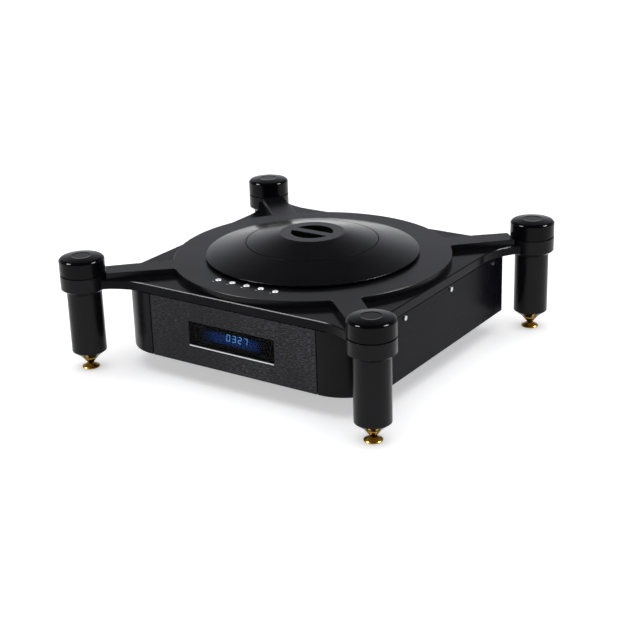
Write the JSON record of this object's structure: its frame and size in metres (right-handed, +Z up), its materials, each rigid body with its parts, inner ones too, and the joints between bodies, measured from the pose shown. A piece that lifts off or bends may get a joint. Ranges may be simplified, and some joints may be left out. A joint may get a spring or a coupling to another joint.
{
  "type": "top-loading disc player",
  "caption": "Top-loading valve disc player: a black case with a round lift-off lid, push buttons and a display, hung by swept arms between turned pillars on pointed feet.",
  "frame": {"origin": "on the floor, under the middle of the four pillars", "axes": "+X to the player's right seen from the front, +Y to the back, +Z up; the display faces -Y"},
  "size_m": [0.454, 0.434, 0.148],
  "materials": {
    "black_anodised": "black anodised, satin",
    "black_plastic": "matte",
    "brass_polished": "polished",
    "brushed_black": "black anodised, finely brushed",
    "button_metal": "satin",
    "capacitor_sleeve": "sleeve",
    "ceramic": "glazed",
    "circuit_board": "green solder mask",
    "dark_glass": "smoked",
    "display_tube": "dark",
    "gloss_black": "black anodised, polished",
    "gloss_plastic": "gloss",
    "gold_plate": "gold plated",
    "lens_holder": "moulded",
    "panel_black": "black powder coat",
    "rubber": "soft",
    "silver": "bright brushed",
    "steel": "bright",
    "valve_glass": "clear",
    "white_plastic": "natural",
    "winding": "wound tape",
    "zinc_steel": "zinc plated"
  },
  "bodies": {
    "chassis": {"arm_plate": "black_anodised", "audio_board": "circuit_board", "audio_valves": "valve_glass", "bezel_spacers": "black_plastic", "bottom_cover": "panel_black", "button_board": "circuit_board", "chassis_posts": "silver", "disc_well": "panel_black", "display_board": "circuit_board", "display_trim": "silver", "display_tube": "display_tube", "display_window": "dark_glass", "filter_capacitors": "capacitor_sleeve", "floor_shoes": "brass_polished", "foot_spikes": "brass_polished", "front_cheek_left": "black_anodised", "front_cheek_right": "black_anodised", "front_panel": "brushed_black", "guide_rods": "steel", "lid_bezel": "black_anodised", "mains_inlet": "gloss_plastic", "mechanism_dampers": "rubber", "mechanism_plate": "zinc_steel", "panel_screws": "steel", "pillar_cap_front_left": "gloss_black", "pillar_cap_front_right": "gloss_black", "pillar_cap_rear_left": "gloss_black", "pillar_cap_rear_right": "gloss_black", "pillar_front_left": "black_anodised", "pillar_front_right": "black_anodised", "pillar_rear_left": "black_anodised", "pillar_rear_right": "black_anodised", "power_board": "circuit_board", "rca_sockets": "gold_plate", "rear_panel": "panel_black", "side_panel_left": "panel_black", "side_panel_right": "panel_black", "side_rails": "silver", "sled_motor": "zinc_steel", "spindle_motor": "zinc_steel", "tie_bolts": "zinc_steel", "top_deck": "black_anodised", "transformer": "winding", "valve_sockets": "ceramic"},
    "lid": {"lid": "black_anodised", "lid_seal": "rubber", "clamp_cage": "black_plastic"},
    "clamp": {"clamp_puck": "black_plastic"},
    "spindle": {"turntable": "silver"},
    "sled": {"laser_sled": "black_plastic"},
    "lens": {"objective_lens": "lens_holder"},
    "gear": {"sled_gear": "white_plastic"},
    "pinion": {"motor_pinion": "white_plastic"},
    "rocker": {"power_rocker": "gloss_plastic"},
    "drawer": {"fuse_drawer": "gloss_plastic"},
    "key_1": {"button_1": "button_metal"},
    "key_2": {"button_2": "button_metal"},
    "key_3": {"button_3": "button_metal"},
    "key_4": {"button_4": "button_metal"},
    "key_5": {"button_5": "button_metal"}
  },
  "joints": [
    {"name": "lid_lift", "type": "slide", "parent": "chassis", "child": "lid", "axis": [0, 0, 1], "range_m": [0, 0.15]},
    {"name": "clamp_spin", "type": "hinge", "parent": "lid", "child": "clamp", "pos_m": [0, 0, 0.125], "axis": [0, 0, 1], "continuous": true},
    {"name": "spindle_spin", "type": "hinge", "parent": "chassis", "child": "spindle", "pos_m": [0, 0, 0.118], "axis": [0, 0, 1], "continuous": true},
    {"name": "sled_slide", "type": "slide", "parent": "chassis", "child": "sled", "axis": [0, -1, 0], "range_m": [0, 0.035]},
    {"name": "sled_gear_spin", "type": "hinge", "parent": "chassis", "child": "gear", "pos_m": [0.036, -0.031, 0.104], "axis": [0, 0, 1], "range_deg": [0, 418]},
    {"name": "motor_pinion_spin", "type": "hinge", "parent": "chassis", "child": "pinion", "pos_m": [0.04519, -0.02329, 0.1], "axis": [0, 0, 1], "range_deg": [-1254, 0]},
    {"name": "lens_focus", "type": "slide", "parent": "sled", "child": "lens", "axis": [0, 0, 1], "range_m": [-0.0007, 0.0007], "stiffness_N_per_m": 40},
    {"name": "rocker_tilt", "type": "hinge", "parent": "chassis", "child": "rocker", "pos_m": [-0.106, 0.158, 0.068], "axis": [1, 0, 0], "range_deg": [0, 16]},
    {"name": "drawer_slide", "type": "slide", "parent": "chassis", "child": "drawer", "axis": [0, 1, 0], "range_m": [0, 0.014]},
    {"name": "key_1_press", "type": "slide", "parent": "chassis", "child": "key_1", "axis": [0, 0, -1], "range_m": [0, 0.0008], "stiffness_N_per_m": 1000},
    {"name": "key_2_press", "type": "slide", "parent": "chassis", "child": "key_2", "axis": [0, 0, -1], "range_m": [0, 0.0008], "stiffness_N_per_m": 1000},
    {"name": "key_3_press", "type": "slide", "parent": "chassis", "child": "key_3", "axis": [0, 0, -1], "range_m": [0, 0.0008], "stiffness_N_per_m": 1000},
    {"name": "key_4_press", "type": "slide", "parent": "chassis", "child": "key_4", "axis": [0, 0, -1], "range_m": [0, 0.0008], "stiffness_N_per_m": 1000},
    {"name": "key_5_press", "type": "slide", "parent": "chassis", "child": "key_5", "axis": [0, 0, -1], "range_m": [0, 0.0008], "stiffness_N_per_m": 1000}
  ],
  "couplings": [
    {"joint": "clamp_spin", "follows": "spindle_spin", "ratio": 1},
    {"joint": "sled_gear_spin", "follows": "sled_slide", "rad_per_m": 208.33},
    {"joint": "motor_pinion_spin", "follows": "sled_slide", "rad_per_m": -625}
  ]
}
